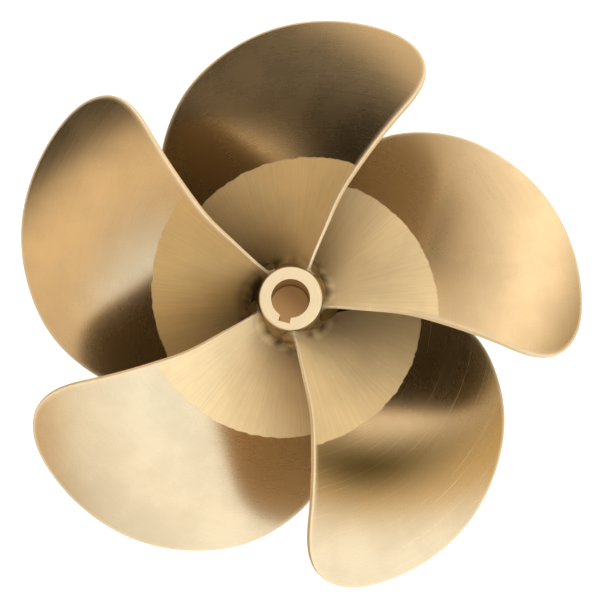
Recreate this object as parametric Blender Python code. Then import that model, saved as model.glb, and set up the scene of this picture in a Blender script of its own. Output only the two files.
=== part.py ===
"""Five-bladed fixed-pitch boat propeller, lying on the forward end of its boss.

Metres, +Z up. Z is the shaft axis and the aft (nut) end is up. The origin is
where the shaft axis meets the boss's forward face. Seen from aft, the propeller
drives ahead when it turns counter-clockwise, so it is left-handed.
"""
import math

import bmesh
import bpy
import numpy as np

# Blade sizes
BLADE_COUNT = 5
FIRST_BLADE_ANGLE = 90.0      # degrees, from +X towards +Y
TIP_RADIUS = 0.2795
PITCH = 0.533                 # advance of the pressure face in one turn
FACE_SETBACK = 0.003          # aft face of the boss down to the crest of the pressure face
RAKE_CREST_RADIUS = 0.1955    # where the blade's reference line stands highest
RAKE_CURVE_RADIUS = 0.262     # bend of the reference line at its crest
EDGE_RADIUS = 0.003           # rounded rim of the blade
ROOT_THICKNESS = 0.015        # thickest point of the section at the boss
TIP_THICKNESS = 0.0065        # the same at the tip

# Blade outline, as shares of the tip radius and degrees from the reference line.
# The trailing edge runs from the root outwards, and the tip is its last point.
TRAILING_EDGE = ((0.172, -28.2), (0.27, -27.1), (0.38, -26.8), (0.485, -28.5),
                 (0.70, -32.1), (0.81, -33.2), (0.90, -31.7), (0.962, -27.0),
                 (0.991, -20.0), (1.0, -12.0))
# The leading edge runs from the tip inwards, and its first point is the tip.
LEADING_EDGE = ((1.0, -12.0), (0.997, -4.0), (0.976, 5.0), (0.937, 14.0), (0.878, 24.0),
                (0.793, 34.0), (0.707, 42.0), (0.60, 47.5), (0.46, 49.5), (0.31, 49.5),
                (0.215, 46.5))

# Boss sizes
BOSS_LENGTH = 0.112
BOSS_AFT_RADIUS = 0.0305
BOSS_FORWARD_RADIUS = 0.043
BOSS_RIM = 0.0015             # bevel round both ends of the boss
AFT_LAND = 0.008              # aft face down to the trailing edge's root
FORWARD_LAND = 0.012          # forward face up to the leading edge's root
FACE_FILLET = 0.012           # fillet between the boss and the blade's two sides
EDGE_FILLET = 0.004           # fillet between the boss and the blade's two edges
ROOT_SINK = 0.006             # how far the blade runs in under the boss surface before it is cut
SEAT_GAP = 0.0003             # joint line between the boss and a blade

# Shaft bore
SHAFT_DIAMETER = 0.04445      # large end of the bore, at the forward face
SHAFT_TAPER = 16.0            # length that takes one unit off the diameter
KEYWAY_WIDTH = 0.0111
KEYWAY_DEPTH = 0.0050         # below the wall of the bore
KEYWAY_ANGLE = 253.0          # degrees, from +X towards +Y
CUT_MARGIN = 0.01             # how far a cutter stands past what it cuts

# Fineness of the mesh
BOSS_STEPS = 80
BOSS_ARC_STEPS = 6
BLADE_ROWS = 20
BLADE_COLUMNS = 10
ROW_GATHER = 1.3              # more than one draws the rows towards the root
EDGE_STEPS = 2

BRONZE = (0.62, 0.43, 0.18, 1.0)
BOSS_BRONZE = (0.70, 0.53, 0.27, 1.0)


def clear_scene():
    """Remove whatever the file opened with."""
    for old in list(bpy.data.objects):
        bpy.data.objects.remove(old, do_unlink=True)


def bronze(name, colour, roughness):
    """A cast bronze finish."""
    material = bpy.data.materials.new(name)
    material.use_nodes = True
    shader = material.node_tree.nodes["Principled BSDF"]
    shader.inputs["Base Color"].default_value = colour
    shader.inputs["Metallic"].default_value = 1.0
    shader.inputs["Roughness"].default_value = roughness
    return material


def place(name, mesh_source, material=None):
    """Put a finished bmesh into the scene as one named object."""
    mesh = bpy.data.meshes.new(name)
    bmesh.ops.recalc_face_normals(mesh_source, faces=mesh_source.faces)
    mesh_source.to_mesh(mesh)
    mesh_source.free()
    mesh.shade_smooth()
    mesh.set_sharp_from_angle(angle=math.radians(40.0))
    if material:
        mesh.materials.append(material)
    piece = bpy.data.objects.new(name, mesh)
    bpy.context.scene.collection.objects.link(piece)
    return piece


def as_cutter(piece):
    """Keep a piece for cutting only."""
    piece.hide_render = True
    piece.display_type = "WIRE"
    return piece


def cut(piece, cutter):
    """Take the cutter's shape out of a piece."""
    step = piece.modifiers.new("cut_by_" + cutter.name, "BOOLEAN")
    step.operation = "DIFFERENCE"
    step.solver = "EXACT"
    step.object = cutter


def turned(profile):
    """A body turned about the shaft axis from a closed loop of (radius, height) points."""
    body = bmesh.new()
    points = [body.verts.new((radius, 0.0, height)) for radius, height in profile]
    loop = [body.edges.new((points[i - 1], points[i])) for i in range(len(points))]
    bmesh.ops.spin(body, geom=points + loop, axis=(0, 0, 1), cent=(0, 0, 0),
                   angle=2.0 * math.pi, steps=BOSS_STEPS, use_merge=True)
    bmesh.ops.remove_doubles(body, verts=body.verts, dist=1e-6)
    return body


def boss_radius(height):
    """Radius of the boss at a height: an arc that stands square on the forward face."""
    drop = BOSS_FORWARD_RADIUS - BOSS_AFT_RADIUS
    arc = (BOSS_LENGTH ** 2 + drop ** 2) / (2.0 * drop)
    inside = np.clip(height, 0.0, BOSS_LENGTH)
    return BOSS_FORWARD_RADIUS - arc + np.sqrt(arc ** 2 - inside ** 2)


def boss_side(grow, rim):
    """Side of the boss from aft to forward, grown outwards, without its bevelled rims."""
    heights = np.linspace(BOSS_LENGTH - rim, rim, BOSS_ARC_STEPS + 1)
    return [(boss_radius(height) + grow, height) for height in heights]


def build_boss(material):
    """The boss: a turned barrel with a tapered bore and a keyway."""
    aft_bore = (SHAFT_DIAMETER - BOSS_LENGTH / SHAFT_TAPER) / 2.0
    forward_bore = SHAFT_DIAMETER / 2.0
    profile = [(aft_bore, BOSS_LENGTH), (boss_radius(BOSS_LENGTH) - BOSS_RIM, BOSS_LENGTH)]
    profile += boss_side(0.0, BOSS_RIM)
    profile += [(boss_radius(0.0) - BOSS_RIM, 0.0), (forward_bore, 0.0)]
    boss = place("boss", turned(profile), material)

    # The keyway follows the taper, so its floor is as deep at both ends.
    key = bmesh.new()
    half = KEYWAY_WIDTH / 2.0
    bore_slope = (forward_bore - aft_bore) / BOSS_LENGTH
    corners = {}
    for height in (-CUT_MARGIN, BOSS_LENGTH + CUT_MARGIN):
        floor = forward_bore - bore_slope * height + KEYWAY_DEPTH
        corners[height] = [key.verts.new((reach, side, height))
                           for reach, side in ((0, -half), (floor, -half), (floor, half), (0, half))]
    low, high = corners.values()
    key.faces.new(low[::-1])
    key.faces.new(high)
    for i in range(4):
        key.faces.new((low[i - 1], low[i], high[i], high[i - 1]))
    keyway = as_cutter(place("keyway_cutter", key))
    keyway.rotation_euler.z = math.radians(KEYWAY_ANGLE)
    cut(boss, keyway)
    return boss


def build_seat_cutter():
    """The boss without its bore, grown by the joint line, which trims the blades' roots."""
    side = boss_side(SEAT_GAP, 0.0)
    top = (side[0][0], BOSS_LENGTH + CUT_MARGIN)
    bottom = (side[-1][0], -CUT_MARGIN)
    profile = [(0.0, top[1]), top] + side + [bottom, (0.0, bottom[1])]
    return as_cutter(place("blade_seat_cutter", turned(profile)))


def reference_height(radius):
    """Height of the blade's reference line: a shallow arch along the radius."""
    crest = BOSS_LENGTH - FACE_SETBACK
    return crest - (radius - RAKE_CREST_RADIUS) ** 2 / (2.0 * RAKE_CURVE_RADIUS)


def face_height(radius, angle):
    """Height of the pressure face: the reference line carried round at a constant pitch."""
    return reference_height(radius) - PITCH * angle / (2.0 * math.pi)


def face_normal(radius, angle):
    """Unit normal of the pressure face, which looks aft."""
    along = (radius - RAKE_CREST_RADIUS) / RAKE_CURVE_RADIUS
    around = PITCH / (2.0 * math.pi * radius)
    normal = np.stack([along * np.cos(angle) - around * np.sin(angle),
                       along * np.sin(angle) + around * np.cos(angle),
                       np.ones_like(radius)], axis=-1)
    return normal / np.linalg.norm(normal, axis=-1, keepdims=True)


def face_point(radius, angle, lift=0.0):
    """Point that stands off the pressure face by lift, along its normal."""
    flat = np.stack([radius * np.cos(angle), radius * np.sin(angle), face_height(radius, angle)], axis=-1)
    return flat + face_normal(radius, angle) * np.asarray(lift)[..., None]


def polar(points):
    """Radius and angle of points about the shaft axis."""
    return np.hypot(points[..., 0], points[..., 1]), np.arctan2(points[..., 1], points[..., 0])


def smooth_curve(points, shares):
    """Points at the given shares of the length of a natural cubic spline through points."""
    knots = np.asarray(points, dtype=float)
    along = np.concatenate([[0.0], np.cumsum(np.linalg.norm(np.diff(knots, axis=0), axis=1))])
    step = np.diff(along)
    slope = np.diff(knots, axis=0) / step[:, None]
    count = len(knots)
    matrix = np.eye(count)
    right = np.zeros_like(knots)
    for i in range(1, count - 1):
        matrix[i, i - 1:i + 2] = step[i - 1], 2.0 * (step[i - 1] + step[i]), step[i]
        right[i] = 6.0 * (slope[i] - slope[i - 1])
    bend = np.linalg.solve(matrix, right)
    where = np.asarray(shares) * along[-1]
    i = np.clip(np.searchsorted(along, where) - 1, 0, count - 2)
    before = (where - along[i])[:, None]
    after = (along[i + 1] - where)[:, None]
    span = step[i][:, None]
    cubic = (bend[i] * after ** 3 + bend[i + 1] * before ** 3) / (6.0 * span)
    return (cubic + (knots[i] / span - bend[i] * span / 6.0) * after
            + (knots[i + 1] / span - bend[i + 1] * span / 6.0) * before)


def outline():
    """The blade's rim on the pressure face: up the trailing edge, round the tip and down."""
    def flat(pairs):
        return [(TIP_RADIUS * share * math.cos(math.radians(turn)),
                 TIP_RADIUS * share * math.sin(math.radians(turn))) for share, turn in pairs]

    def root(height):
        radius = boss_radius(height) - ROOT_SINK
        angle = (reference_height(radius) - height) * 2.0 * math.pi / PITCH
        return radius * math.cos(angle), radius * math.sin(angle)

    trailing = [root(BOSS_LENGTH - AFT_LAND)] + flat(TRAILING_EDGE)
    leading = flat(LEADING_EDGE) + [root(FORWARD_LAND)]
    middle = len(trailing) - 1
    knots = np.asarray(trailing + leading[1:])
    along = np.concatenate([[0.0], np.cumsum(np.linalg.norm(np.diff(knots, axis=0), axis=1))])
    tip = along[middle] / along[-1]
    # Rows stand closer together at the root, where the fillet bends.
    rise = np.linspace(0.0, 1.0, BLADE_ROWS + 1) ** ROW_GATHER
    shares = np.concatenate([rise * tip, 1.0 - rise[-2::-1] * (1.0 - tip)])
    return smooth_curve(knots, shares)


def fillet_flare(points, fillet):
    """How far a fillet pushes a surface out at points near the boss."""
    radius, _ = polar(points)
    above = np.clip(radius - boss_radius(points[..., 2]), 0.0, fillet)
    return fillet - np.sqrt(fillet ** 2 - (fillet - above) ** 2)


def rim_columns(edge):
    """Columns of points that round a blade's edge, from the rim to where each side begins.

    Returns the radius and angle of every column and how far it stands into the round.
    """
    radius, angle = polar(edge)
    rim = face_point(radius, angle)
    run = np.gradient(rim, axis=0)
    run /= np.linalg.norm(run, axis=1, keepdims=True)
    inward = np.cross(face_normal(radius, angle), run)
    inward /= np.linalg.norm(inward, axis=1, keepdims=True)
    rim = rim - inward * fillet_flare(rim, EDGE_FILLET)[:, None]
    turns = np.linspace(0.0, math.pi / 2.0, EDGE_STEPS + 1)
    depth = EDGE_RADIUS * (1.0 - np.cos(turns))
    columns = rim[:, None, :] + inward[:, None, :] * depth[None, :, None]
    radius, angle = polar(columns)
    return radius, angle, np.broadcast_to(np.sin(turns), radius.shape)


def blade_grids():
    """Two grids of points, the pressure face and the back, which share their rim columns."""
    columns = rim_columns(outline())
    te_radius, te_angle, te_round = (part[:BLADE_ROWS + 1] for part in columns)
    le_radius, le_angle, le_round = (part[:BLADE_ROWS - 1:-1] for part in columns)
    across = np.linspace(0.0, 1.0, BLADE_COLUMNS + 1)[1:-1]

    def between(start, end):
        return start[:, -1:] * (1.0 - across) + end[:, -1:] * across

    radius = np.hstack([te_radius, between(te_radius, le_radius), le_radius[:, ::-1]])
    angle = np.hstack([te_angle, between(te_angle, le_angle), le_angle[:, ::-1]])
    ones = np.ones((BLADE_ROWS + 1, len(across)))
    rounding = np.hstack([te_round, ones, le_round[:, ::-1]])
    rim = np.zeros_like(te_round)
    share = np.hstack([rim, ones * across, rim + 1.0])

    # The back is arched over the flat pressure face, and thins towards the tip.
    inner = boss_radius(BOSS_LENGTH / 2.0)
    outwards = np.clip((radius - inner) / (TIP_RADIUS - inner), 0.0, 1.0)
    crown = ROOT_THICKNESS + (TIP_THICKNESS - ROOT_THICKNESS) * outwards - 2.0 * EDGE_RADIUS
    arch = crown * 4.0 * share * (1.0 - share)
    fillet = EDGE_FILLET + (FACE_FILLET - EDGE_FILLET) * np.sqrt(4.0 * share * (1.0 - share))
    flare = fillet_flare(face_point(radius, angle), fillet) * rounding
    front = -EDGE_RADIUS * (1.0 - rounding) + flare
    back = -EDGE_RADIUS * (1.0 + rounding) - arch - flare
    return face_point(radius, angle, front), face_point(radius, angle, back)


def blade_body():
    """Closed body of one blade, with its reference line on +X."""
    front, back = blade_grids()
    body = bmesh.new()
    rows, columns = front.shape[:2]
    sides = []
    for grid in (front, back):
        sides.append([[body.verts.new(grid[row, column]) for column in range(columns)]
                      for row in range(rows)])
    for side in sides:
        for row in range(rows - 1):
            for column in range(columns - 1):
                body.faces.new((side[row][column], side[row][column + 1],
                                side[row + 1][column + 1], side[row + 1][column]))
    # The root is closed across the section, inside the boss.
    for column in range(columns - 1):
        body.faces.new((sides[0][0][column], sides[0][0][column + 1],
                        sides[1][0][column + 1], sides[1][0][column]))
    bmesh.ops.remove_doubles(body, verts=body.verts, dist=1e-6)
    bmesh.ops.dissolve_degenerate(body, edges=body.edges, dist=1e-6)
    return body


def build_blades(material, seat_cutter):
    """One blade for each place round the boss, trimmed to its seat."""
    for i in range(BLADE_COUNT):
        blade = place("blade_%d" % (i + 1), blade_body(), material)
        blade.rotation_euler.z = math.radians(FIRST_BLADE_ANGLE + i * 360.0 / BLADE_COUNT)
        cut(blade, seat_cutter)


def main():
    """Build the propeller."""
    clear_scene()
    build_boss(bronze("boss_bronze", BOSS_BRONZE, 0.35))
    build_blades(bronze("blade_bronze", BRONZE, 0.30), build_seat_cutter())


main()
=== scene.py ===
"""Looks of a five-bladed bronze boat propeller that lies on the forward end of its boss.

The solids of the frame give the place of every piece. Each blade and the boss are made again
here as finer numpy surfaces, with rounded rims, hand-dressed root fillets and brushed bronze.
Metres, Z is the shaft axis, and the aft end is up.
"""
import logging
import math
from dataclasses import dataclass
from enum import Enum
from typing import Sequence, Union

import bmesh
import bpy
import numpy as np
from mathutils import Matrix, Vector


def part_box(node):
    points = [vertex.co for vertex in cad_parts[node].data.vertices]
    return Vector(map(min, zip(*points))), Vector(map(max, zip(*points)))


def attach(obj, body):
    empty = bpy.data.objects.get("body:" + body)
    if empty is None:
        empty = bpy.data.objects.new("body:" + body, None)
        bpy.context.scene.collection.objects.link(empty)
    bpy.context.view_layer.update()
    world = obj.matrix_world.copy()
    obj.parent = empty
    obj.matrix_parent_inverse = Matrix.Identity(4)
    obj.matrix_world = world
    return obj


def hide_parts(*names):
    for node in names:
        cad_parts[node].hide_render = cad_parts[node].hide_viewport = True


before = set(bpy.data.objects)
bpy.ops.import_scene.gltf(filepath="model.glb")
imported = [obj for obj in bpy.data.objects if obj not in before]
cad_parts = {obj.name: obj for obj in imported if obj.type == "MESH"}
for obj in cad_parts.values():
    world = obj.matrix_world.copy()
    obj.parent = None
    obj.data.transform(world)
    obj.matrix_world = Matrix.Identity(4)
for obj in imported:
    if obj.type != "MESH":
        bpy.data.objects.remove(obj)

LOG = logging.getLogger("propeller")
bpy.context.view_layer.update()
BODY = "root"
POLAR_MAP = "polar"
FIRST_BLADE_ANGLE = 90.0

Socket = bpy.types.NodeSocket
Value = Union[Socket, float]
Colour = tuple[float, float, float]


class Slot(Enum):
    """Material slots of the record."""

    BOSS = "boss_bronze"
    BLADE = "blade_bronze"


class Side(Enum):
    """The two sides of a blade."""

    FACE = "face"
    BACK = "back"


def spread(points: np.ndarray, wavelength: float, seed: int, waves: int = 7) -> np.ndarray:
    """Smooth unevenness: the mean of a few sine waves that run in seeded directions.

    Args:
        points: Places, shape (..., 3).
        wavelength: Typical length of a wave, in metres.
        seed: Seed of the directions and phases.
        waves: How many waves are added.

    Returns:
        Values between -1 and 1, shape (...).
    """
    draw = np.random.default_rng(seed)
    heading = draw.normal(size=(3, waves))
    heading /= np.linalg.norm(heading, axis=0)
    pace = 2.0 * math.pi / (wavelength * draw.uniform(0.7, 1.5, waves))
    phase = draw.uniform(0.0, 2.0 * math.pi, waves)
    return np.sin(points @ (heading * pace) + phase).mean(axis=-1)


def ease(value: np.ndarray, low: float, high: float) -> np.ndarray:
    """Smooth step from 0 at low to 1 at high: 3 t^2 - 2 t^3."""
    share = np.clip((value - low) / (high - low), 0.0, 1.0)
    return share * share * (3.0 - 2.0 * share)


def about_axis(angle: float) -> np.ndarray:
    """Matrix that turns rows of points about the shaft axis by an angle in radians."""
    return np.array([[math.cos(angle), math.sin(angle), 0.0],
                     [-math.sin(angle), math.cos(angle), 0.0], [0.0, 0.0, 1.0]])


def grid_quads(rows: int, columns: int, first: int = 0, wrap_rows: bool = False,
               wrap_columns: bool = False) -> np.ndarray:
    """Corner numbers of the quads of a grid of points stored row by row.

    Args:
        rows: Rows of points.
        columns: Columns of points.
        first: Number of the grid's first point.
        wrap_rows: Whether the last row joins the first.
        wrap_columns: Whether the last column joins the first.

    Returns:
        Array of shape (quads, 4).
    """
    row = np.arange(rows if wrap_rows else rows - 1)[:, None]
    column = np.arange(columns if wrap_columns else columns - 1)[None, :]
    next_row = (row + 1) % rows
    next_column = (column + 1) % columns
    corners = [row * columns + column, row * columns + next_column,
               next_row * columns + next_column, next_row * columns + column]
    return np.stack([corner.ravel() for corner in corners], axis=1) + first


def map_radius(mesh: bpy.types.Mesh) -> None:
    """Map a mesh by its polar place: u grows with the radius, and v round the shaft axis."""
    corners = np.empty(len(mesh.loops), dtype=np.int32)
    mesh.loops.foreach_get("vertex_index", corners)
    places = np.empty(len(mesh.vertices) * 3, dtype=np.float32)
    mesh.vertices.foreach_get("co", places)
    places = places.reshape(-1, 3)[corners]
    x, y = places[:, 0], places[:, 1]
    polar = np.stack([np.hypot(x, y), np.arctan2(y, x)], axis=1)
    mesh.uv_layers.new(name=POLAR_MAP).data.foreach_set("uv", polar.astype(np.float32).ravel())


def make_piece(name: str, points: np.ndarray, quads: np.ndarray, masks: dict[str, np.ndarray],
               sharp_angle: float) -> bpy.types.Object:
    """Put points and quads into a closed, smooth-shaded mesh object at the origin.

    Args:
        name: Name of the piece.
        points: Vertex places, shape (count, 3).
        quads: Vertex numbers, shape (quads, 4).
        masks: Values per vertex that the piece's finish reads by name.
        sharp_angle: Edges bent by more than this many degrees stay sharp.

    Returns:
        The new object.
    """
    mesh = bpy.data.meshes.new(name)
    mesh.from_pydata(points.tolist(), [], quads.tolist())
    for mask, values in masks.items():
        layer = mesh.attributes.new(mask, "FLOAT", "POINT")
        layer.data.foreach_set("value", values.astype(np.float32).ravel())
    body = bmesh.new()
    body.from_mesh(mesh)
    bmesh.ops.remove_doubles(body, verts=body.verts, dist=1e-7)
    bmesh.ops.dissolve_degenerate(body, edges=body.edges, dist=1e-7)
    bmesh.ops.recalc_face_normals(body, faces=body.faces)
    body.to_mesh(mesh)
    body.free()
    mesh.shade_smooth()
    mesh.set_sharp_from_angle(angle=math.radians(sharp_angle))
    map_radius(mesh)
    piece = bpy.data.objects.new(name, mesh)
    bpy.context.scene.collection.objects.link(piece)
    return piece


class NodeSheet:
    """Short ways to add and wire the nodes of one tree."""

    def __init__(self, tree: bpy.types.NodeTree) -> None:
        """Keep the tree that the nodes go into."""
        self.tree = tree

    def add(self, kind: str, **settings: object) -> bpy.types.Node:
        """Add a node of a kind and set its properties."""
        node = self.tree.nodes.new(kind)
        for name, value in settings.items():
            setattr(node, name, value)
        return node

    def feed(self, into: Socket, value: object) -> None:
        """Link a socket to an input, or set the input to a number, vector or colour."""
        if isinstance(value, bpy.types.NodeSocket):
            self.tree.links.new(value, into)
        elif into.type == "RGBA" and len(value) == 3:
            into.default_value = (*value, 1.0)
        else:
            into.default_value = value

    def math(self, operation: str, *values: Value) -> Socket:
        """Put numbers through one arithmetic operation."""
        node = self.add("ShaderNodeMath", operation=operation)
        for into, value in zip(node.inputs, values):
            self.feed(into, value)
        return node.outputs[0]

    def vector(self, operation: str, *values: object) -> bpy.types.Node:
        """Put vectors through one vector operation, and give back its node."""
        node = self.add("ShaderNodeVectorMath", operation=operation)
        for into, value in zip(node.inputs, values):
            self.feed(into, value)
        return node

    def scaled(self, vector: object, factor: Value) -> Socket:
        """A vector or colour times a number."""
        node = self.vector("SCALE", vector)
        self.feed(node.inputs["Scale"], factor)
        return node.outputs[0]

    def remap(self, value: Value, low: Value, high: Value, start: Value = 0.0,
              end: Value = 1.0) -> Socket:
        """Map a range smoothly onto another one, and stop at its ends."""
        node = self.add("ShaderNodeMapRange", interpolation_type="SMOOTHSTEP")
        for into, number in zip(node.inputs, (value, low, high, start, end)):
            self.feed(into, number)
        return node.outputs[0]

    def mixed(self, kind: str, share: Value, first: object, second: object) -> Socket:
        """Mix two values of a kind, Float, Vector or Color, by a share."""
        node = self.add("ShaderNodeMix", data_type="RGBA" if kind == "Color" else kind.upper())
        for name, value in (("Factor_Float", share), ("A_" + kind, first), ("B_" + kind, second)):
            self.feed(next(socket for socket in node.inputs if socket.identifier == name), value)
        return next(socket for socket in node.outputs if socket.identifier == "Result_" + kind)

    def blend(self, share: Value, first: object, second: object) -> Socket:
        """Mix two colours by a share."""
        return self.mixed("Color", share, first, second)

    def mix(self, share: Value, first: Value, second: Value) -> Socket:
        """Mix two numbers by a share."""
        return self.mixed("Float", share, first, second)

    def noise(self, where: Socket, scale: float, detail: float, roughness: float = 0.5) -> Socket:
        """Cloud noise between 0 and 1 at a vector."""
        node = self.add("ShaderNodeTexNoise")
        for name, value in (("Vector", where), ("Scale", scale), ("Detail", detail),
                            ("Roughness", roughness)):
            self.feed(node.inputs[name], value)
        return node.outputs["Fac"]

    def group(self, tree: bpy.types.NodeTree, **values: object) -> bpy.types.Node:
        """Place a node group and feed its inputs by name."""
        node = self.add("ShaderNodeGroup", node_tree=tree)
        for name, value in values.items():
            self.feed(node.inputs[name], value)
        return node


def new_group(name: str, inputs: Sequence[tuple[str, str]],
              outputs: Sequence[tuple[str, str]]) -> tuple[NodeSheet, dict[str, Socket], bpy.types.Node]:
    """Start a shader node group with named sockets.

    Args:
        name: Name of the group.
        inputs: Names and kinds of its inputs, where a kind is Float, Vector or Color.
        outputs: Names and kinds of its outputs.

    Returns:
        The sheet to add nodes with, the input sockets by name, and the output node.
    """
    tree = bpy.data.node_groups.new(name, "ShaderNodeTree")
    for way, sockets in (("INPUT", inputs), ("OUTPUT", outputs)):
        for label, kind in sockets:
            tree.interface.new_socket(name=label, in_out=way, socket_type="NodeSocket" + kind)
    sheet = NodeSheet(tree)
    start = sheet.add("NodeGroupInput")
    return sheet, {label: start.outputs[label] for label, _ in inputs}, sheet.add("NodeGroupOutput")


class BronzeEffects:
    """Node groups that the bronze finishes share."""

    def __init__(self) -> None:
        """Build each group once."""
        self.polar = self._polar()
        self.strokes = self._strokes()
        self.zone = self._zone()
        self.clouds = self._clouds()

    @staticmethod
    def _polar() -> bpy.types.NodeTree:
        """Distance from the shaft axis, and the unit vector away from it."""
        sheet, given, out = new_group("shaft_polar", [("Point", "Vector")],
                                      [("Radius", "Float"), ("Turn", "Vector")])
        flat = sheet.vector("MULTIPLY", given["Point"], (1.0, 1.0, 0.0)).outputs[0]
        sheet.feed(out.inputs["Radius"], sheet.vector("LENGTH", flat).outputs["Value"])
        sheet.feed(out.inputs["Turn"], sheet.vector("NORMALIZE", flat).outputs[0])
        return sheet.tree

    @staticmethod
    def _strokes() -> bpy.types.NodeTree:
        """Brush strokes: noise that is drawn out along the radius or round the shaft axis."""
        names = ("Radius", "Across", "Around")
        sheet, given, out = new_group("brush_strokes", [("Turn", "Vector")] + [(n, "Float") for n in names],
                                      [("Grain", "Float")])
        spin = sheet.scaled(given["Turn"], given["Around"])
        climb = sheet.add("ShaderNodeCombineXYZ")
        sheet.feed(climb.inputs["Z"], sheet.math("MULTIPLY", given["Radius"], given["Across"]))
        where = sheet.vector("ADD", spin, climb.outputs[0]).outputs[0]
        sheet.feed(out.inputs["Grain"], sheet.noise(where, 1.0, 3.0, 0.62))
        return sheet.tree

    @staticmethod
    def _zone() -> bpy.types.NodeTree:
        """Mask of the hand-ground zone round the boss, with a slightly ragged edge."""
        names = ("Radius", "Edge", "Ragged", "Soft")
        sheet, given, out = new_group("ground_zone", [("Turn", "Vector")] + [(n, "Float") for n in names],
                                      [("Mask", "Float")])
        wander = sheet.math("SUBTRACT", sheet.noise(given["Turn"], 14.0, 2.0), 0.5)
        reach = sheet.math("MULTIPLY_ADD", wander, given["Ragged"], given["Radius"])
        low = sheet.math("SUBTRACT", given["Edge"], given["Soft"])
        high = sheet.math("ADD", given["Edge"], given["Soft"])
        sheet.feed(out.inputs["Mask"], sheet.remap(reach, low, high, 1.0, 0.0))
        return sheet.tree

    @staticmethod
    def _clouds() -> bpy.types.NodeTree:
        """Soft patches: tarnish and handling on the blades, and the patches of painted shade on the boss
        side.
        """
        sheet, given, out = new_group("patch_and_shade_clouds", [("Point", "Vector"), ("Scale", "Float")],
                                      [("Mask", "Float")])
        cloud = sheet.noise(sheet.scaled(given["Point"], given["Scale"]), 1.0, 4.0, 0.55)
        sheet.feed(out.inputs["Mask"], sheet.remap(cloud, 0.35, 0.7))
        return sheet.tree


def new_material(name: str) -> tuple[bpy.types.Material, bpy.types.Node]:
    """A material and its Principled shader."""
    material = bpy.data.materials.new(name)
    material.use_nodes = True
    return material, material.node_tree.nodes["Principled BSDF"]


@dataclass(frozen=True)
class Stroke:
    """Fineness of brush strokes: how many lie across a metre of the radius, and round the axis."""

    across: float
    around: float


class BronzeSheet(NodeSheet):
    """Node sheet of a bronze finish, which reads the shared effects at the shaded point."""

    relief_depth = 0.0002

    def __init__(self, material: bpy.types.Material, effects: BronzeEffects) -> None:
        """Add the nodes that every bronze finish starts with."""
        super().__init__(material.node_tree)
        self.effects = effects
        self.point = self.add("ShaderNodeTexCoord").outputs["Object"]
        polar = self.group(effects.polar, Point=self.point).outputs
        self.radius, self.turn = polar["Radius"], polar["Turn"]

    def strokes(self, stroke: Stroke) -> Socket:
        """Brush strokes of one fineness."""
        return self.group(self.effects.strokes, Radius=self.radius, Turn=self.turn, Across=stroke.across,
                          Around=stroke.around).outputs[0]

    def clouds(self, scale: float) -> Socket:
        """Soft patches, about so many to a metre."""
        return self.group(self.effects.clouds, Point=self.point, Scale=scale).outputs[0]

    def mask(self, name: str) -> Socket:
        """A mask that the piece's surface carries."""
        return self.add("ShaderNodeAttribute", attribute_name=name).outputs["Fac"]

    def relief(self, shader: bpy.types.Node, height: Socket, strength: float) -> None:
        """Roughen a shader's normal by a height."""
        bump = self.add("ShaderNodeBump")
        bump.inputs["Strength"].default_value = strength
        bump.inputs["Distance"].default_value = self.relief_depth
        self.feed(bump.inputs["Height"], height)
        self.feed(shader.inputs["Normal"], bump.outputs["Normal"])


@dataclass(frozen=True)
class BladeLayers:
    """Sockets that the parts of a blade's finish share."""

    inner: Socket
    rim: Socket
    back: Socket
    grain: Socket
    scratch: Socket
    patch: Socket


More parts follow.
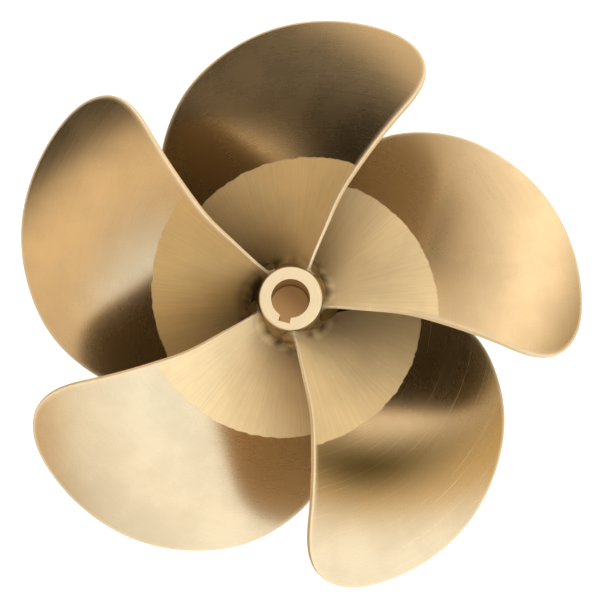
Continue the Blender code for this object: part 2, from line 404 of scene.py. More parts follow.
@dataclass(frozen=True)
class BladeFinish:
    """Bronze of a blade: a ground zone round the boss, a brushed zone to the tip, and a back darkened as
    painted shade.
    """

    brushed: Colour = (0.80, 0.60, 0.36)
    ground: Colour = (0.70, 0.47, 0.20)
    # painted light: colour of a ground zone painted as brightly lit
    lit_ground: Colour = (1.00, 0.81, 0.50)
    edge: Colour = (0.96, 0.79, 0.54)
    # colour of a dark spot on the face, outside the ground zone
    dark_spot: Colour = (0.11, 0.08, 0.025)
    # painted shade: dark colour of the back, which the neighbouring faces reflect
    back: Colour = (0.12, 0.08, 0.02)
    # painted shade: dark colour laid on the root crease next to the boss
    crease_shade: Colour = (0.115, 0.068, 0.018)
    # painted shade: near-black, for the deepest shade at a blade's root
    deep_shade: Colour = (0.010, 0.005, 0.003)
    zone_edge: float = 0.1381
    zone_ragged: float = 0.004
    zone_soft: float = 0.0007
    brushed_roughness: float = 0.26
    ground_roughness: float = 0.55
    rim_roughness: float = 0.46
    ground_metal: float = 0.35
    rim_metal: float = 0.45
    stretch: float = 0.65
    gloss: float = 0.2
    ring_strokes: tuple[Stroke, Stroke] = (Stroke(2400.0, 1.2), Stroke(900.0, 0.8))
    ray_strokes: tuple[Stroke, Stroke] = (Stroke(30.0, 230.0), Stroke(16.0, 75.0))
    scratch_stroke: Stroke = Stroke(440.0, 0.9)
    brushed_streak: float = 0.03
    ground_streak: float = 0.09
    scratch_shine: float = 0.15
    scratch_roughness: float = 0.08
    patch_scale: float = 24.0
    patch_tone: float = 0.92
    shade_breakup_scale: float = 45.0
    shade_breakup_share: float = 0.6
    zone_step: float = 3.0
    relief_strength: float = 0.06

    def layers(self, sheet: BronzeSheet) -> BladeLayers:
        """Zones, strokes, scratches and patches of the blade.

        Args:
            sheet: Node sheet of the material.

        Returns:
            The sockets of the layers.
        """
        rim, back = sheet.mask("rim"), sheet.mask("back")
        zone = sheet.group(sheet.effects.zone, Radius=sheet.radius, Turn=sheet.turn, Edge=self.zone_edge,
                           Ragged=self.zone_ragged, Soft=self.zone_soft).outputs[0]
        inner = sheet.math("MULTIPLY", zone, sheet.math("SUBTRACT", 1.0, sheet.math("MAXIMUM", rim, back)))
        ring, ray = (sheet.mix(0.5, *[sheet.strokes(stroke) for stroke in pair])
                     for pair in (self.ring_strokes, self.ray_strokes))
        arcs = sheet.remap(sheet.strokes(self.scratch_stroke), 0.62, 0.67)
        arcs = sheet.math("MULTIPLY", arcs, sheet.mask("scratches"))
        scratch = sheet.math("MULTIPLY", arcs, sheet.math("SUBTRACT", 1.0, inner))
        return BladeLayers(inner, rim, back, sheet.mix(inner, ring, ray), scratch,
                           sheet.clouds(self.patch_scale))

    def colour(self, sheet: BronzeSheet, layers: BladeLayers) -> Socket:
        """Colour of the metal: the ground zone painted lighter on some blades, the back darkened as painted
        shade, a dark spot, and painted shade at the root over it.

        Args:
            sheet: Node sheet of the material.
            layers: Sockets of the blade's layers.

        Returns:
            The base colour.
        """
        # painted light and shade: the ground zone is painted lighter or darker per blade, for how light
        # falls on each blade
        tone = sheet.blend(sheet.mask("zone_light"), self.ground, self.lit_ground)
        # a dark spot outside the ground zone darkens the brushed colour
        brushed = sheet.blend(sheet.mask("dark_spot"), self.brushed, self.dark_spot)
        metal = sheet.blend(layers.inner, brushed, tone)
        # the back takes its painted shade colour, and the rim the edge colour
        metal = sheet.blend(layers.rim, sheet.blend(layers.back, metal, self.back), self.edge)
        depth = sheet.mix(layers.inner, self.brushed_streak, self.ground_streak)
        streak = sheet.math("MULTIPLY_ADD", sheet.remap(layers.grain, 0.25, 0.75, -1.0, 1.0), depth, 1.0)
        streak = sheet.math("MULTIPLY_ADD", layers.scratch, self.scratch_shine, streak)
        cloudy = sheet.math("MULTIPLY", streak, sheet.mix(layers.patch, 1.0, self.patch_tone))
        # painted shade: the root crease darkens towards the boss, broken up into smudges by noise
        root = sheet.mask("root")
        shade_breakup = sheet.remap(sheet.noise(sheet.point, self.shade_breakup_scale, 1.0), 0.35, 0.65)
        shading = sheet.math("MULTIPLY", root, sheet.mix(shade_breakup, 1.0, self.shade_breakup_share))
        # painted shade: the root shade goes near-black on blades that are set for deep shade
        crease_shade = sheet.blend(sheet.math("MULTIPLY", sheet.mask("deep_shade"), root), self.crease_shade, self.deep_shade)
        return sheet.blend(shading, sheet.scaled(metal, cloudy), crease_shade)

    def roughness(self, sheet: BronzeSheet, layers: BladeLayers) -> Socket:
        """Roughness of the zones, with a little more on scratches and patches.

        Args:
            sheet: Node sheet of the material.
            layers: Sockets of the blade's layers.

        Returns:
            The roughness.
        """
        rough = sheet.mix(layers.inner, self.brushed_roughness, self.ground_roughness)
        rough = sheet.mix(layers.back, rough, self.ground_roughness)
        rough = sheet.mix(layers.rim, rough, self.rim_roughness)
        rough = sheet.math("MULTIPLY_ADD", layers.scratch, self.scratch_roughness, rough)
        rough = sheet.math("ADD", rough, sheet.remap(layers.grain, 0.2, 0.8, -0.015, 0.015))
        return sheet.math("MULTIPLY_ADD", layers.patch, 0.03, rough)

    def material(self, effects: BronzeEffects) -> bpy.types.Material:
        """Build the finish.

        Args:
            effects: Shared node groups.

        Returns:
            The new material.
        """
        material, shader = new_material("brushed_blade_bronze")
        sheet = BronzeSheet(material, effects)
        layers = self.layers(sheet)
        metal = sheet.mix(layers.rim, sheet.mix(layers.inner, 1.0, self.ground_metal), self.rim_metal)
        sheet.feed(shader.inputs["Base Color"], self.colour(sheet, layers))
        sheet.feed(shader.inputs["Roughness"], self.roughness(sheet, layers))
        sheet.feed(shader.inputs["Metallic"], metal)
        shader.inputs["Specular IOR Level"].default_value = self.gloss
        grain = sheet.math("MULTIPLY", layers.grain, sheet.mix(layers.inner, 0.1, 0.6))
        height = sheet.math("MULTIPLY_ADD", layers.inner, self.zone_step, grain)
        sheet.relief(shader, height, self.relief_strength)
        self.run_of_brushing(sheet, shader, layers.inner)
        return material

    def run_of_brushing(self, sheet: NodeSheet, shader: bpy.types.Node, inner: Socket) -> None:
        """Stretch the gloss across the strokes: along the radius, or round the axis in the ground zone.

        Args:
            sheet: Node sheet of the material.
            shader: The Principled shader.
            inner: Mask of the ground zone.
        """
        shader.inputs["Anisotropic"].default_value = self.stretch
        outward = sheet.add("ShaderNodeTangent", direction_type="UV_MAP", uv_map=POLAR_MAP).outputs[0]
        normal = sheet.add("ShaderNodeNewGeometry").outputs["Normal"]
        around = sheet.vector("CROSS_PRODUCT", normal, outward).outputs[0]
        sheet.feed(shader.inputs["Tangent"], sheet.mixed("Vector", inner, outward, around))


@dataclass(frozen=True)
class BossFinish:
    """Bronze of the boss: faced and bored on a lathe at its ends, ground by hand on its side, with patches
    of painted shade on the side.
    """

    turned: Colour = (0.78, 0.65, 0.45)
    side: Colour = (0.60, 0.43, 0.21)
    # painted shade: dark colour laid over the side of the boss between the blades
    crease_shade: Colour = (0.085, 0.045, 0.012)
    # painted shade: near-black on the side of the boss that faces this way
    deep_shade: Colour = (0.010, 0.005, 0.003)
    deep_shade_way: Colour = (-1.0, 0.05, 0.0)
    turned_roughness: float = 0.38
    side_roughness: float = 0.46
    ring_stroke: Stroke = Stroke(2200.0, 3.0)
    patch_scale: float = 90.0
    relief_strength: float = 0.3

    def material(self, effects: BronzeEffects) -> bpy.types.Material:
        """Build the finish.

        Args:
            effects: Shared node groups.

        Returns:
            The new material.
        """
        material, shader = new_material("turned_boss_bronze")
        sheet = BronzeSheet(material, effects)
        ring = sheet.strokes(self.ring_stroke)
        patch = sheet.clouds(self.patch_scale)
        faced = sheet.mask("faced")
        tone = sheet.remap(ring, 0.25, 0.75, 0.92, 1.05)
        metal = sheet.scaled(sheet.blend(faced, self.side, self.turned), tone)
        # painted shade: the side of the boss that faces one way is painted near-black
        toward = sheet.vector("DOT_PRODUCT", sheet.turn, self.deep_shade_way).outputs["Value"]
        deep_shaded = sheet.remap(toward, 0.75, 0.92)
        # painted shade over the side of the boss: in patches, and near-black on one side
        shading = sheet.math("MAXIMUM", deep_shaded, sheet.mix(patch, 0.35, 0.75))
        shading = sheet.math("MULTIPLY", sheet.math("SUBTRACT", 1.0, faced), shading)
        crease_shade = sheet.blend(deep_shaded, self.crease_shade, self.deep_shade)
        sheet.feed(shader.inputs["Base Color"], sheet.blend(shading, metal, crease_shade))
        rough = sheet.mix(faced, self.side_roughness, self.turned_roughness)
        sheet.feed(shader.inputs["Roughness"], sheet.math("MULTIPLY_ADD", patch, 0.06, rough))
        shader.inputs["Metallic"].default_value = 1.0
        sheet.relief(shader, ring, self.relief_strength)
        return material


@dataclass
class Boss:
    """The boss: a barrel turned about the shaft axis, with a tapered bore and a keyway."""

    length: float
    forward_radius: float
    aft_radius: float = 0.0305
    rim: float = 0.0015
    bore_diameter: float = 0.04445
    bore_taper: float = 16.0
    key_width: float = 0.0111
    key_depth: float = 0.0050
    key_angle: float = 253.0
    unevenness: float = 0.00018
    unevenness_wave: float = 0.018
    machined_turn: float = 1.2
    face_rows: int = 12
    rim_rows: int = 6
    side_rows: int = 70
    bore_rows: int = 29
    wall_points: int = 181
    cheek_points: int = 6
    key_floor_points: int = 9
    crease: float = 38.0
    finish: BossFinish = BossFinish()

    def radius_at(self, height: np.ndarray) -> np.ndarray:
        """Radius of the side: an arc through both end radii that stands square on the forward face."""
        drop = self.forward_radius - self.aft_radius
        arc = (self.length ** 2 + drop ** 2) / (2.0 * drop)
        inside = np.clip(height, 0.0, self.length)
        return self.forward_radius - arc + np.sqrt(arc ** 2 - inside ** 2)

    def bore_outline(self, height: np.ndarray) -> tuple[np.ndarray, np.ndarray]:
        """Outline of the bore with its keyway, at each height, as a loop of points.

        The loop runs round the wall from one corner of the keyway to the other, then out along
        one cheek, across the floor and back along the other cheek.

        Args:
            height: Heights, shape (rows,).

        Returns:
            Points in the keyway's own frame, shape (rows, columns, 2), and the angle on the rim
            that each column belongs to, shape (columns,).
        """
        wall = (self.bore_diameter - height / self.bore_taper) / 2.0
        half = self.key_width / 2.0
        corner = np.arcsin(half / wall)
        floor = wall + self.key_depth
        share = np.linspace(0.0, 1.0, self.wall_points)
        turn = corner[:, None] + share[None, :] * (2.0 * math.pi - 2.0 * corner[:, None])
        round_part = wall[:, None, None] * np.stack([np.cos(turn), np.sin(turn)], axis=-1)
        cheek = np.linspace(0.0, 1.0, self.cheek_points)[1:]
        reach = (wall * np.cos(corner))[:, None] * (1.0 - cheek) + floor[:, None] * cheek
        out = np.stack([reach, np.full_like(reach, -half)], axis=-1)
        cross = np.linspace(-half, half, self.key_floor_points)[1:]
        across = np.stack(np.broadcast_arrays(floor[:, None], cross[None, :]), axis=-1)
        back = (out * np.array([1.0, -1.0]))[:, -2::-1]
        loop = np.concatenate([round_part, out, across, back], axis=1)
        key_columns = loop.shape[1] - len(share)
        middle = float(np.mean(corner))
        rim = np.concatenate([np.linspace(middle, 2.0 * math.pi - middle, len(share)),
                              np.linspace(-middle, middle, key_columns + 2)[1:-1]])
        return loop, rim

    def build(self) -> bpy.types.Object:
        """Make the boss.

        Each column of the surface runs out over the aft face, round its rim, down the side,
        round the forward rim, in over the forward face and up the bore.

        Returns:
            The new object.
        """
        bevel = np.linspace(0.0, math.pi / 2.0, self.rim_rows)
        climb = np.linspace(0.0, self.length, self.bore_rows)
        loop, rim_angle = self.bore_outline(climb)
        aft_in, forward_in = loop[-1], loop[0]
        outward = np.stack([np.cos(rim_angle), np.sin(rim_angle)], axis=-1)

        side_height = np.linspace(self.length - self.rim, self.rim, self.side_rows)
        aft_edge = self.radius_at(np.array(self.length - self.rim)) - self.rim
        forward_edge = self.radius_at(np.array(self.rim)) - self.rim
        rings: list[np.ndarray] = []
        faced: list[float] = []

        def ring(flat: np.ndarray, height: float, machined: float) -> None:
            """Keep one ring of points at a height."""
            rings.append(np.column_stack([flat, np.full(len(flat), height)]))
            faced.append(machined)

        for share in np.linspace(0.0, 1.0, self.face_rows):
            ring(aft_in * (1.0 - share) + outward * aft_edge * share, self.length, 1.0)
        for turn in bevel[1:]:
            ring(outward * (aft_edge + self.rim * math.sin(turn)),
                 self.length - self.rim * (1.0 - math.cos(turn)),
                 1.0 if turn < self.machined_turn else 0.5)
        for height in side_height[1:-1]:
            ring(outward * self.radius_at(height), height, 0.0)
        for turn in bevel[::-1]:
            ring(outward * (forward_edge + self.rim * math.sin(turn)),
                 self.rim * (1.0 - math.cos(turn)), 0.5 if turn > self.machined_turn else 1.0)
        for share in np.linspace(1.0, 0.0, self.face_rows)[1:]:
            ring(forward_in * (1.0 - share) + outward * forward_edge * share, 0.0, 1.0)
        for row, height in enumerate(climb[1:-1], start=1):
            ring(loop[row], height, 1.0)

        points = np.stack(rings)
        turned = np.broadcast_to(np.array(faced)[:, None], points.shape[:2])
        wobble = self.unevenness * spread(points, self.unevenness_wave, 5) * (1.0 - turned)
        points[..., :2] *= 1.0 + (wobble / np.hypot(points[..., 0], points[..., 1]))[..., None]
        rows, columns = points.shape[:2]
        quads = grid_quads(rows, columns, wrap_rows=True, wrap_columns=True)
        places = (points @ about_axis(math.radians(self.key_angle))).reshape(-1, 3)
        return make_piece("boss_casting", places, quads, {"faced": turned}, self.crease)

    def dress(self, piece: bpy.types.Object, effects: BronzeEffects) -> None:
        """Give the boss its finish and tie it to the frame."""
        piece.data.materials.append(self.finish.material(effects))
        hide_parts("boss")
        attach(piece, BODY)
        LOG.info("boss: %d faces", len(piece.data.polygons))


@dataclass(frozen=True)
class WearAndShade:
    """What the handwork left on one blade, and the light and shade painted on it.

    The first value is how far the painted shade at the root reaches, against the usual reach. The
    next are how black that painted shade is, how brightly the ground zone is painted lit, how dark
    the back is painted as shade, how dark the spot outside the ground zone is, and how plain the
    arcs that the tool left are, each from 0 to 1.
    """

    shade_reach: float = 1.0
    deep_shade: float = 0.0
    zone_light: float = 0.5
    back_shade: float = 0.7
    dark_spot: float = 0.0
    scratches: float = 0.15


@dataclass
class BladeShape:
    """Form that the blades share: a pressure face of constant pitch with an arched back."""

    boss: Boss
    tip_radius: float = 0.2795
    pitch: float = 0.533
    face_setback: float = 0.003
    rake_crest: float = 0.1955
    rake_bend: float = 0.262
    edge_radius: float = 0.003
    root_edge: float = 0.0016
    edge_squareness: float = 5.0
    root_thickness: float = 0.015
    tip_thickness: float = 0.0065
    aft_land: float = 0.008
    forward_land: float = 0.012
    face_fillet: float = 0.012
    edge_fillet: float = 0.004
    root_sink: float = 0.006
    fillet_sink: float = 0.0004
    slim_span: tuple[float, float] = (0.04, 0.15)
    # painted shade at the root: how far it reaches, and how its edge wavers
    crease_shade_reach: float = 0.013
    crease_shade_waver: float = 0.004
    crease_shade_wave: float = 0.02
    back_crease_reach: float = 2.0
    # place and size of a dark spot on the face, outside the ground zone
    dark_spot_radius: float = 0.173
    dark_spot_angle: float = -13.0
    dark_spot_drift: float = 0.0013
    dark_spot_reach: tuple[float, float] = (0.028, 24.0)
    rows: int = 150
    columns: int = 76
    edge_steps: int = 10
    row_gather: float = 1.35
    crease: float = 60.0
    trailing_edge: tuple[tuple[float, float], ...] = (
        (0.172, -28.2), (0.27, -27.1), (0.38, -26.8), (0.485, -28.5), (0.70, -32.1),
        (0.81, -33.2), (0.90, -31.7), (0.962, -27.0), (0.991, -20.0), (1.0, -12.0))
    leading_edge: tuple[tuple[float, float], ...] = (
        (0.997, -4.0), (0.976, 5.0), (0.937, 14.0), (0.878, 24.0), (0.793, 34.0),
        (0.707, 42.0), (0.60, 47.5), (0.46, 49.5), (0.31, 49.5), (0.215, 46.5))

    def reference_height(self, radius: np.ndarray) -> np.ndarray:
        """Height of the reference line: a parabola with its crest at one radius."""
        crest = self.boss.length - self.face_setback
        return crest - (radius - self.rake_crest) ** 2 / (2.0 * self.rake_bend)

    def face_height(self, radius: np.ndarray, angle: np.ndarray) -> np.ndarray:
        """Height of the pressure face: the reference line less pitch times angle over a full turn."""
        return self.reference_height(radius) - self.pitch * angle / (2.0 * math.pi)

    def face_normal(self, radius: np.ndarray, angle: np.ndarray) -> np.ndarray:
        """Unit normal of the pressure face, from the slopes along the radius and round the axis."""
        along = (radius - self.rake_crest) / self.rake_bend
        around = self.pitch / (2.0 * math.pi * radius)
        normal = np.stack([along * np.cos(angle) - around * np.sin(angle),
                           along * np.sin(angle) + around * np.cos(angle), np.ones_like(radius)], axis=-1)
        return normal / np.linalg.norm(normal, axis=-1, keepdims=True)

    def face_point(self, radius: np.ndarray, angle: np.ndarray,
                   lift: Union[np.ndarray, float] = 0.0) -> np.ndarray:
        """Points that stand off the pressure face by lift along its normal."""
        flat = np.stack([radius * np.cos(angle), radius * np.sin(angle),
                         self.face_height(radius, angle)], axis=-1)
        return flat + self.face_normal(radius, angle) * np.asarray(lift)[..., None]

    @staticmethod
    def smooth_curve(knots: np.ndarray, along: np.ndarray, where: np.ndarray) -> np.ndarray:
        """Natural cubic spline through knots.

        Each stretch is the cubic whose bends at its two ends solve the usual three-term equations.

        Args:
            knots: Points, shape (count, 2).
            along: Length along the polygon of the knots at each knot, shape (count,).
            where: Lengths at which the curve is read.

        Returns:
            Points on the curve, shape (len(where), 2).
        """
        step = np.diff(along)
        slope = np.diff(knots, axis=0) / step[:, None]
        count = len(knots)
        inner = np.arange(1, count - 1)
        matrix = np.eye(count)
        matrix[inner, inner - 1] = step[:-1]
        matrix[inner, inner] = 2.0 * (step[:-1] + step[1:])
        matrix[inner, inner + 1] = step[1:]
        right = np.zeros_like(knots)
        right[1:-1] = 6.0 * np.diff(slope, axis=0)
        bend = np.linalg.solve(matrix, right)
        i = np.clip(np.searchsorted(along, where) - 1, 0, count - 2)
        before = (where - along[i])[:, None]
        after = (along[i + 1] - where)[:, None]
        span = step[i][:, None]
        cubic = (bend[i] * after ** 3 + bend[i + 1] * before ** 3) / (6.0 * span)
        return (cubic + (knots[i] / span - bend[i] * span / 6.0) * after
                + (knots[i + 1] / span - bend[i + 1] * span / 6.0) * before)

    def outline(self) -> np.ndarray:
        """Rim of the face in plan: up the trailing edge, round the tip and down the leading edge.

        Returns:
            Points, shape (2 * rows + 1, 2), with the tip in the middle.
        """
        heights = np.array([self.boss.length - self.aft_land, self.forward_land])
        radius = self.boss.radius_at(heights) - self.root_sink
        angle = (self.reference_height(radius) - heights) * 2.0 * math.pi / self.pitch
        roots = np.stack([radius * np.cos(angle), radius * np.sin(angle)], axis=-1)
        shares = np.array(self.trailing_edge + self.leading_edge)
        turn = np.radians(shares[:, 1])
        rim = self.tip_radius * shares[:, :1] * np.stack([np.cos(turn), np.sin(turn)], axis=-1)
        knots = np.vstack([roots[:1], rim, roots[1:]])
        along = np.concatenate([[0.0], np.cumsum(np.linalg.norm(np.diff(knots, axis=0), axis=1))])
        tip = along[len(self.trailing_edge)]
        rise = np.linspace(0.0, 1.0, self.rows + 1) ** self.row_gather
        where = np.concatenate([rise * tip, along[-1] - rise[-2::-1] * (along[-1] - tip)])
        return self.smooth_curve(knots, along, where)

    def flare(self, points: np.ndarray, fillet: Union[np.ndarray, float]) -> np.ndarray:
        """How far a fillet pushes the surface out near the boss: R - sqrt(R^2 - (R - h)^2)."""
        radius = np.hypot(points[..., 0], points[..., 1])
        above = np.clip(radius - self.boss.radius_at(points[..., 2]) + self.fillet_sink, 0.0, fillet)
        return fillet - np.sqrt(fillet ** 2 - (fillet - above) ** 2)

    def edge_at(self, radius: np.ndarray) -> np.ndarray:
        """Half the thickness of the rim, which is slimmer next to the boss."""
        return self.root_edge + (self.edge_radius - self.root_edge) * ease(radius, *self.slim_span)

    def rim_columns(self) -> tuple[np.ndarray, np.ndarray, np.ndarray]:
        """Columns of points that round the rim, from its middle in to where a side begins.

        Across the rim the points lie on a squared oval, |x|^n + |y|^n = edge radius^n.

        Returns:
            Radius, angle and roundness (0 at the rim, 1 at the side), each of shape
            (2 * rows + 1, edge_steps + 1).
        """
        flat = self.outline()
        radius, angle = np.hypot(flat[:, 0], flat[:, 1]), np.arctan2(flat[:, 1], flat[:, 0])
        rim = self.face_point(radius, angle)
        run = np.gradient(rim, axis=0)
        inward = np.cross(self.face_normal(radius, angle), run)
        inward /= np.linalg.norm(inward, axis=1, keepdims=True)
        rim = rim - inward * self.flare(rim, self.edge_fillet)[:, None]
        turn = np.linspace(0.0, math.pi / 2.0, self.edge_steps + 1)
        power = 2.0 / self.edge_squareness
        depth = self.edge_at(radius)[:, None] * (1.0 - np.cos(turn).clip(0.0) ** power)
        columns = rim[:, None, :] + inward[:, None, :] * depth[..., None]
        return (np.hypot(columns[..., 0], columns[..., 1]), np.arctan2(columns[..., 1], columns[..., 0]),
                np.broadcast_to(np.sin(turn) ** power, columns.shape[:2]))

    def surfaces(self) -> dict[Side, np.ndarray]:
        """Grids of points for the two sides, which share their rim columns.

        The face is lifted only by its fillet. The back lies below it by the rim's thickness
        and an arch, crown * 4 s (1 - s), over the share s of the chord.

        Returns:
            Points of each side, shape (rows + 1, columns, 3).
        """
        radius, angle, rounding = self.rim_columns()
        up, down = slice(0, self.rows + 1), slice(None, self.rows - 1, -1)
        across = np.linspace(0.0, 1.0, self.columns + 1)[1:-1]

        def chord(values: np.ndarray) -> np.ndarray:
            """Join the trailing and leading columns by even steps between them."""
            middle = values[up, -1:] * (1.0 - across) + values[down, -1:] * across
            return np.hstack([values[up], middle, values[down, ::-1]])

        share = np.concatenate([np.zeros(self.edge_steps + 1), across, np.ones(self.edge_steps + 1)])
        radius, angle, rounding = chord(radius), chord(angle), chord(rounding)
        inner = self.boss.radius_at(np.array(self.boss.length / 2.0))
        outwards = np.clip((radius - inner) / (self.tip_radius - inner), 0.0, 1.0)
        crown = self.root_thickness + (self.tip_thickness - self.root_thickness) * outwards
        edge = self.edge_at(radius)
        arch = (crown - 2.0 * edge) * 4.0 * share * (1.0 - share)
        swell = np.sqrt(4.0 * share * (1.0 - share))
        fillet = self.edge_fillet + (self.face_fillet - self.edge_fillet) * swell
        fillet = np.broadcast_to(fillet, radius.shape)
        flare = self.flare(self.face_point(radius, angle), fillet) * rounding
        face = flare - edge * (1.0 - rounding)
        back = -edge * (1.0 + rounding) - arch - flare
        return {Side.FACE: self.face_point(radius, angle, face),
                Side.BACK: self.face_point(radius, angle, back)}

    def masks(self, side: Side, points: np.ndarray, wear_and_shade: WearAndShade) -> dict[str, np.ndarray]:
        """Masks for the finish: the rim, the painted shade at the root, the back darkened as painted shade,
        the dark spot, and the blade's own values: how brightly its ground zone is painted lit, how black
        its root shade is, and how plain its scratches are.

        Args:
            side: Which side of the blade the points are on.
            points: Points of that side, shape (rows + 1, columns, 3).
            wear_and_shade: What the handwork left on the blade.

        Returns:
            Values between 0 and 1, one per point.
        """
        column = np.arange(points.shape[1])
        from_rim = np.minimum(column, column[::-1])
        rim = np.broadcast_to(1.0 - ease(from_rim, self.edge_steps - 1.0, self.edge_steps + 0.5),
                              points.shape[:2])
        # painted shade: 1 at the boss, falling to 0 a little way out along the blade
        above = np.hypot(points[..., 0], points[..., 1]) - self.boss.radius_at(points[..., 2])
        reach = self.crease_shade_reach * (wear_and_shade.shade_reach if side is Side.FACE else self.back_crease_reach)
        waver = self.crease_shade_waver * spread(points, self.crease_shade_wave, 11)
        root = 1.0 - ease(above + waver, -0.001, reach)
        # painted shade: the back is darkened by a per-blade amount
        back = (1.0 - rim) * (wear_and_shade.back_shade if side is Side.BACK else 0.0)
        # the dark spot, on the face only
        dark_spot = self.dark_spot_mask(points) * (wear_and_shade.dark_spot if side is Side.FACE else 0.0)
        even = {name: np.full(points.shape[:2], getattr(wear_and_shade, name))
                for name in ("zone_light", "scratches", "deep_shade")}
        return {"rim": rim, "root": root, "back": back, "dark_spot": dark_spot, **even}

    def dark_spot_mask(self, points: np.ndarray) -> np.ndarray:
        """A spot with a soft edge: a bell, exp(-d^2), about a middle line that drifts outwards.

        Args:
            points: Points of the face, shape (rows + 1, columns, 3).

        Returns:
            Values between 0 and 1, one per point.
        """
        past = np.degrees(np.arctan2(points[..., 1], points[..., 0])) - self.dark_spot_angle
        middle = self.dark_spot_radius + self.dark_spot_drift * past
        outward = (np.hypot(points[..., 0], points[..., 1]) - middle) / self.dark_spot_reach[0]
        return np.exp(-outward ** 2 - (past / self.dark_spot_reach[1]) ** 2)


@dataclass
class Blade:
    """One blade in its place round the boss."""

    number: int
    turn: float
    shape: BladeShape
    wear_and_shade: WearAndShade

    def build(self) -> bpy.types.Object:
        """Make the blade as one closed surface: face, back and a root end inside the boss."""
        sides = self.shape.surfaces()
        rows, columns = sides[Side.FACE].shape[:2]
        points = np.concatenate([side.reshape(-1, 3) for side in sides.values()]) @ about_axis(self.turn)
        masks = [self.shape.masks(side, grid, self.wear_and_shade) for side, grid in sides.items()]
        merged = {name: np.concatenate([mask[name].ravel() for mask in masks]) for name in masks[0]}
        face = grid_quads(rows, columns)
        back = grid_quads(rows, columns, first=rows * columns)[:, ::-1]
        column = np.arange(columns - 1)
        end = np.stack([column + 1, column, column + rows * columns, column + 1 + rows * columns], axis=1)
        quads = np.concatenate([face, back, end])
        return make_piece("blade_%d_casting" % self.number, points, quads, merged, self.shape.crease)

    def dress(self, piece: bpy.types.Object, material: bpy.types.Material) -> None:
        """Give the blade its finish and tie it to the frame."""
        piece.data.materials.append(material)
        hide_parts("blade_%d" % self.number)
        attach(piece, BODY)
        LOG.info("blade %d: %d faces", self.number, len(piece.data.polygons))


class Tint(Enum):
    """Tints of the studio's lights."""

    COOL = (0.76, 0.87, 1.00)
    WHITE = (1.00, 0.94, 0.84)
    WARM = (1.00, 0.82, 0.58)
    AMBER = (1.00, 0.72, 0.28)


@dataclass(frozen=True)
class Panel:
    """One light panel of a tier: its azimuth in degrees, its level and its tint."""

    azimuth: float
    level: float = 0.0
    tint: Tint = Tint.WARM

    def colour(self) -> Colour:
        """Light of the panel."""
        return tuple(self.level * share for share in self.tint.value)


@dataclass(frozen=True)
class Tier:
    """A ring of light panels, and the angles off the zenith where it takes over from the tier above."""

    name: str
    edge: tuple[float, float]
    panels: tuple[Panel, ...]

    def light(self, sheet: NodeSheet, way: Socket) -> Socket:
        """Light of the tier, which blends from panel to panel round the shaft axis.

        Args:
            sheet: Node sheet to add to.
            way: Direction or place that the light is read at.

        Returns:
            The light's colour.
        """
        split = sheet.add("ShaderNodeSeparateXYZ")
        sheet.feed(split.inputs[0], way)
        around = sheet.math("ARCTAN2", split.outputs["Y"], split.outputs["X"])
        share = sheet.math("WRAP", sheet.math("DIVIDE", around, 2.0 * math.pi), 1.0, 0.0)
        ramp = sheet.add("ShaderNodeValToRGB", name=self.name)
        sheet.feed(ramp.inputs["Fac"], share)
        stops = ramp.color_ramp
        stops.interpolation = "EASE"
        for panel in self.panels[1:]:
            stops.elements.new(panel.azimuth / 360.0)
        for stop, panel in zip(stops.elements, self.panels + self.panels[:1]):
            stop.color = (*panel.colour(), 1.0)
        return ramp.outputs["Color"]


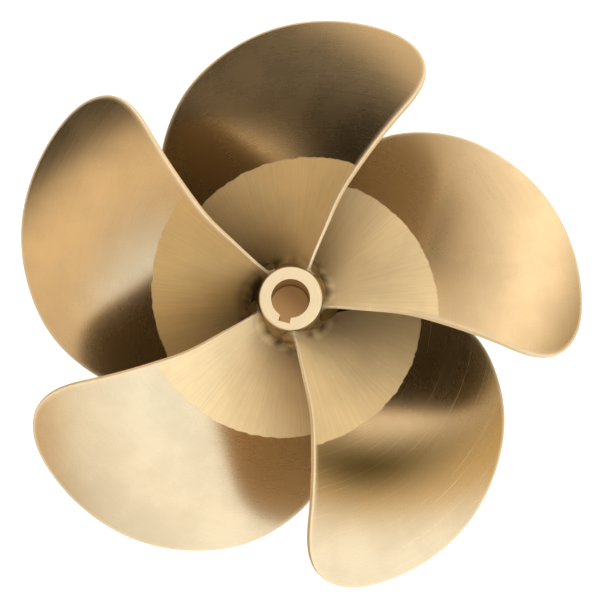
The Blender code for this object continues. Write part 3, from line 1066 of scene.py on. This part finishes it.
@dataclass
class Studio:
    """Pale floor, soft surround and the camera over the aft end."""

    floor_size: float = 8.0
    floor_colour: Colour = (0.40, 0.39, 0.37)
    floor_glow: float = 0.90
    # painted shade and light under the bore: a brown glow, darker to one side and darker still where the
    # bore wall meets the floor
    bore_glow: Colour = (0.44, 0.24, 0.095)
    bore_glow_dark: Colour = (0.24, 0.12, 0.04)
    bore_light_way: Colour = (-0.6, -0.8, 0.0)
    bore_light_span: tuple[float, float] = (-0.016, 0.016)
    bore_corner: tuple[float, float] = (0.0195, 0.0222)
    corner_shade: float = 0.85
    bore_glow_edge: tuple[float, float] = (0.036, 0.040)
    shade: Colour = (0.035, 0.020, 0.008)
    boss_shade: tuple[float, float] = (0.058, 0.120)
    blade_shade: tuple[float, float] = (0.22, 0.40)
    zenith: Colour = (1.15, 1.08, 1.00)
    canopy: Tier = Tier("canopy", (12.0, 24.0), (
        Panel(0.0, 1.4, Tint.WHITE), Panel(60.0, 1.5, Tint.WHITE), Panel(120.0, 1.8, Tint.WHITE),
        Panel(180.0, 0.8, Tint.WARM), Panel(240.0, 1.2, Tint.WARM), Panel(300.0, 1.4, Tint.WHITE)))
    ring: Tier = Tier("ring", (34.0, 46.0), (
        Panel(0.0, 0.7, Tint.AMBER), Panel(15.0, 0.6, Tint.AMBER), Panel(25.0, 0.3, Tint.AMBER),
        Panel(35.0, 0.6, Tint.WARM),
        Panel(45.0, 1.5, Tint.WHITE), Panel(60.0, 1.5, Tint.WHITE), Panel(80.0, 0.9, Tint.WHITE),
        Panel(100.0, 0.7, Tint.WARM), Panel(120.0), Panel(180.0), Panel(195.0, 1.0, Tint.WARM),
        Panel(240.0, 0.7, Tint.WARM), Panel(265.0, 1.3, Tint.COOL), Panel(300.0, 1.6, Tint.COOL),
        Panel(340.0, 1.6, Tint.COOL)))
    skirt: Tier = Tier("skirt", (66.0, 82.0), (
        Panel(0.0), Panel(15.0), Panel(35.0, 1.3, Tint.WHITE), Panel(90.0, 1.3, Tint.WHITE),
        Panel(130.0, 0.7, Tint.AMBER), Panel(155.0), Panel(235.0), Panel(270.0, 1.3, Tint.AMBER),
        Panel(300.0, 1.3, Tint.WHITE), Panel(335.0, 1.3, Tint.WHITE), Panel(350.0, 0.2, Tint.WARM)))
    camera_place: Colour = (-0.0074, -0.0553, 0.9503)
    camera_turn: Colour = (4.796, -0.422, -1.364)
    focal_pixels: float = 872.7
    image_pixels: float = 600.0
    sensor: float = 36.0
    view_centre: tuple[float, float] = (290.7, 282.9)

    def build_floor(self) -> None:
        """Lay the floor at the forward end of the boss."""
        half = self.floor_size / 2.0
        corners = [(-half, -half, 0.0), (half, -half, 0.0), (half, half, 0.0), (-half, half, 0.0)]
        mesh = bpy.data.meshes.new("studio_floor")
        mesh.from_pydata(corners, [], [(0, 1, 2, 3)])
        mesh.materials.append(self.floor_material())
        floor = bpy.data.objects.new("studio_floor", mesh)
        bpy.context.scene.collection.objects.link(floor)

    def floor_material(self) -> bpy.types.Material:
        """Pale floor that is dark close round the boss, and clear from below."""
        material, shader = new_material("studio_floor")
        sheet = NodeSheet(material.node_tree)
        shader.inputs["Roughness"].default_value = 0.9
        shader.inputs["Specular IOR Level"].default_value = 0.1
        shader.inputs["Emission Strength"].default_value = self.floor_glow
        point = sheet.add("ShaderNodeTexCoord").outputs["Object"]
        reach = sheet.vector("LENGTH", point).outputs["Value"]
        lit = sheet.remap(reach, *self.boss_shade)
        sheet.feed(shader.inputs["Base Color"], sheet.blend(lit, self.shade, self.floor_colour))
        from_below = sheet.add("ShaderNodeNewGeometry").outputs["Backfacing"]
        sheet.feed(shader.inputs["Alpha"], sheet.math("SUBTRACT", 1.0, from_below))
        sheet.feed(shader.inputs["Emission Color"], self.floor_light(sheet, point, reach, lit))
        return material

    def floor_light(self, sheet: NodeSheet, point: Socket, reach: Socket, lit: Socket) -> Socket:
        """Glow of the floor: white to the camera, but under the bore a brown glow, painted as the shaded
        floor lit by the bronze round it.

        Its mirror image has the light of the skirt, and fades out in the shade under the blades.

        Args:
            sheet: Node sheet of the floor.
            point: Place on the floor.
            reach: Distance from the shaft axis.
            lit: 0 in the shade close round the boss, 1 outside it.

        Returns:
            The colour of the glow.
        """
        path = sheet.add("ShaderNodeLightPath").outputs
        mirrored = sheet.math("MAXIMUM", path["Is Glossy Ray"], path["Is Transmission Ray"])
        direct = sheet.math("MULTIPLY", path["Is Camera Ray"], lit)
        distant = sheet.math("MULTIPLY", mirrored, sheet.remap(reach, *self.blade_shade))
        pool = sheet.blend(distant, (0.0, 0.0, 0.0), self.skirt.light(sheet, point))
        pale = sheet.blend(direct, pool, (1.0, 1.0, 1.0))
        # painted shade under the bore: lighter towards one side, darker at the foot of the bore wall
        slant = sheet.vector("DOT_PRODUCT", point, self.bore_light_way).outputs["Value"]
        tone = sheet.blend(sheet.remap(slant, *self.bore_light_span), self.bore_glow_dark, self.bore_glow)
        tone = sheet.blend(sheet.remap(reach, *self.bore_corner, 0.0, self.corner_shade), tone, self.shade)
        seen = sheet.math("MAXIMUM", path["Is Camera Ray"], mirrored)
        under = sheet.math("MULTIPLY", seen, sheet.remap(reach, *self.bore_glow_edge, 1.0, 0.0))
        return sheet.blend(under, pale, tone)

    def build_surround(self) -> None:
        """Light the studio from the zenith down by tiers of panels, each blending into the next.

        The camera itself sees white.
        """
        world = bpy.data.worlds.new("studio_surround")
        bpy.context.scene.world = world
        world.use_nodes = True
        sheet = NodeSheet(world.node_tree)
        light = world.node_tree.nodes["Background"]
        way = sheet.add("ShaderNodeTexCoord").outputs["Generated"]
        height = sheet.vector("DOT_PRODUCT", way, (0.0, 0.0, 1.0)).outputs["Value"]
        off_zenith = sheet.math("ARCCOSINE", height)
        total = self.zenith
        for tier in (self.canopy, self.ring, self.skirt):
            reached = sheet.remap(off_zenith, *[math.radians(angle) for angle in tier.edge])
            total = sheet.blend(reached, total, tier.light(sheet, way))
        seen = sheet.add("ShaderNodeLightPath").outputs["Is Camera Ray"]
        sheet.feed(light.inputs["Color"], sheet.blend(seen, total, (1.0, 1.0, 1.0)))
        light.inputs["Strength"].default_value = 1.0

    def build_camera(self) -> None:
        """Hang the camera over the aft end, a little below the middle, and frame the propeller."""
        data = bpy.data.cameras.new("studio_camera")
        data.sensor_width = self.sensor
        data.lens = self.focal_pixels / self.image_pixels * self.sensor
        data.shift_x = (self.image_pixels / 2.0 - self.view_centre[0]) / self.image_pixels
        data.shift_y = (self.view_centre[1] - self.image_pixels / 2.0) / self.image_pixels
        camera = bpy.data.objects.new("studio_camera", data)
        camera.location = self.camera_place
        camera.rotation_euler = [math.radians(turn) for turn in self.camera_turn]
        bpy.context.scene.collection.objects.link(camera)
        bpy.context.scene.camera = camera

    def build(self) -> None:
        """Set up floor, surround, camera and view."""
        self.build_floor()
        self.build_surround()
        self.build_camera()
        bpy.context.scene.view_settings.view_transform = "Standard"


# per blade: painted shade at the root and back, painted light of the ground zone, a dark spot, and the tool
# scratches
BLADE_WEAR_AND_SHADE = {
    "blade_1": WearAndShade(zone_light=0.15, back_shade=0.45),
    "blade_2": WearAndShade(shade_reach=1.6, deep_shade=1.0, zone_light=0.0),
    "blade_3": WearAndShade(zone_light=1.0, back_shade=0.8),
    "blade_4": WearAndShade(zone_light=0.5, back_shade=0.1, dark_spot=0.9, scratches=0.9),
    "blade_5": WearAndShade(zone_light=1.0, back_shade=1.0, scratches=0.3)}


def main() -> None:
    """Build the propeller and the studio in order."""
    logging.basicConfig(level=logging.INFO, format="%(name)s: %(message)s")
    low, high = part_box("boss")
    boss = Boss(length=high.z - low.z, forward_radius=high.x)
    effects = BronzeEffects()
    boss.dress(boss.build(), effects)
    shape = BladeShape(boss=boss)
    blade_bronze = BladeFinish().material(effects)
    names = sorted(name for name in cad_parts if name.startswith("blade_"))
    for index, name in enumerate(names):
        turn = math.radians(FIRST_BLADE_ANGLE + 360.0 * index / len(names))
        blade = Blade(number=int(name.split("_")[1]), turn=turn, shape=shape, wear_and_shade=BLADE_WEAR_AND_SHADE[name])
        blade.dress(blade.build(), blade_bronze)
    Studio().build()


if __name__ == "__main__":
    main()
